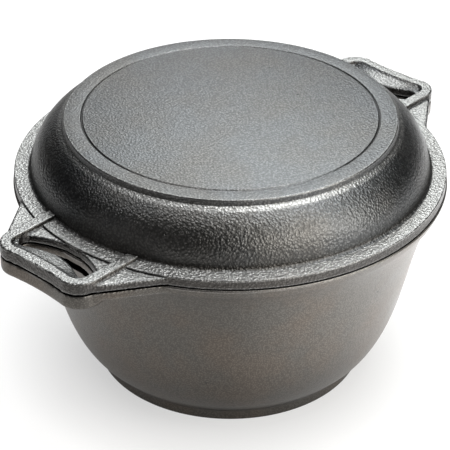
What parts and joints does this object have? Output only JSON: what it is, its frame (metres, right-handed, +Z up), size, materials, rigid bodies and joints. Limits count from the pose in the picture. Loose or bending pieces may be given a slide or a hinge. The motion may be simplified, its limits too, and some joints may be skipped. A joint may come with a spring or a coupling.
{
  "type": "cast iron pot with skillet lid",
  "caption": "Round cast iron pot with a curved wall and flat foot, closed by a shallow upside-down skillet as its lid; both castings have loop handles.",
  "frame": {"origin": "centre of the pot's flat foot, on the surface the pot stands on", "axes": "+Z up, along the axis of both castings; +X along the line through the loop handles; +Y across it"},
  "size_m": [0.342, 0.2804, 0.1762],
  "materials": {
    "pot_iron": "seasoned, as cast with a fine sand texture",
    "lid_iron": "seasoned, as cast with a coarser sand texture"
  },
  "bodies": {
    "pot": {"pot": "pot_iron"},
    "lid": {"skillet_lid": "lid_iron"}
  },
  "joints": [
    {"name": "lid_lift", "type": "slide", "parent": "pot", "child": "lid", "axis": [0, 0, 1], "range_m": [0, 0.15]}
  ]
}
